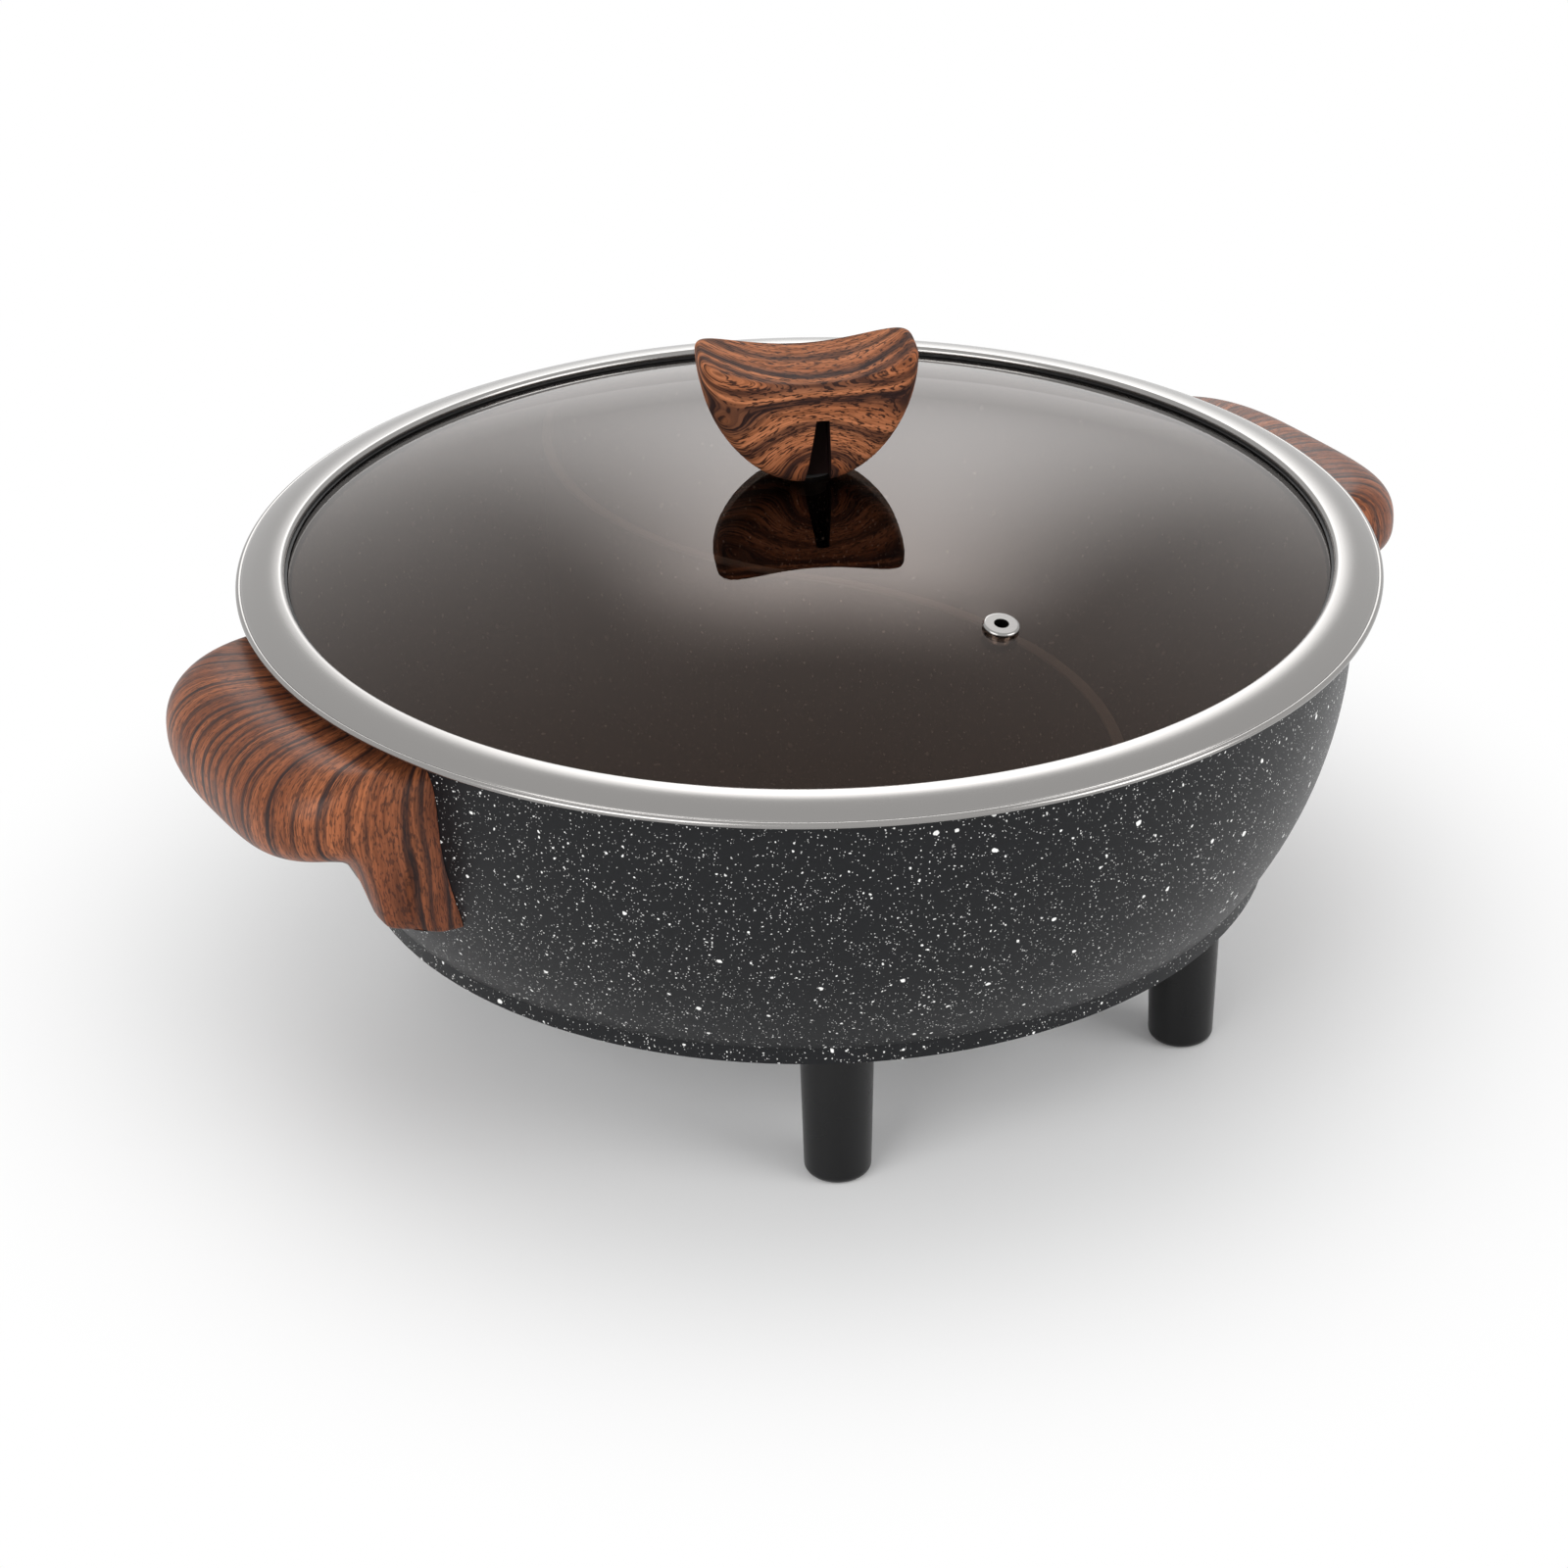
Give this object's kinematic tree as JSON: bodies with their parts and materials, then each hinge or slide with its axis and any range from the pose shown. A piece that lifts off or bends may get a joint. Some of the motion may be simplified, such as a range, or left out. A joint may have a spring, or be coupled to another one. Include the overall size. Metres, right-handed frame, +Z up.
{
  "type": "electric hot pot",
  "caption": "Electric hot pot with a speckled non-stick bowl split by an S-shaped divider, a tinted glass lid in a steel rim, wood-grain ear handles and knob, and black legs",
  "frame": {"origin": "on the table, under the bowl's axis", "axes": "+X towards the right handle, +Y towards the inlet at the back, +Z up"},
  "size_m": [0.371, 0.32, 0.1921],
  "materials": {
    "nonstick": "satin",
    "wood_grain": "satin",
    "tinted_glass": "polished",
    "rim_steel": "satin",
    "black_plastic": "satin",
    "seal_rubber": "matte",
    "steel_sheet": "satin",
    "screw_steel": "satin",
    "plated_brass": "polished",
    "cast_aluminium": "matte"
  },
  "bodies": {
    "pot": {"pot_bowl": "nonstick", "divider_wall": "nonstick", "bottom_cover": "steel_sheet", "leg_front_left": "black_plastic", "leg_front_right": "black_plastic", "leg_rear_left": "black_plastic", "leg_rear_right": "black_plastic", "leg_screws": "screw_steel", "heating_element": "steel_sheet", "terminal_pin_left": "plated_brass", "terminal_pin_right": "plated_brass", "probe_tube": "cast_aluminium", "inlet_shroud": "black_plastic", "inlet_screws": "screw_steel", "handle_left": "wood_grain", "handle_right": "wood_grain", "handle_bracket_left": "cast_aluminium", "handle_bracket_right": "cast_aluminium", "handle_screws": "screw_steel"},
    "lid": {"lid_glass": "tinted_glass", "lid_rim": "rim_steel", "lid_seal": "seal_rubber", "vent_grommet": "rim_steel", "lid_knob": "wood_grain", "knob_insert": "plated_brass", "knob_screw": "screw_steel", "knob_washer": "screw_steel", "knob_gasket": "seal_rubber"}
  },
  "joints": [
    {"name": "lid_lift", "type": "slide", "parent": "pot", "child": "lid", "axis": [0, 0, 1], "range_m": [0, 0.18]}
  ]
}
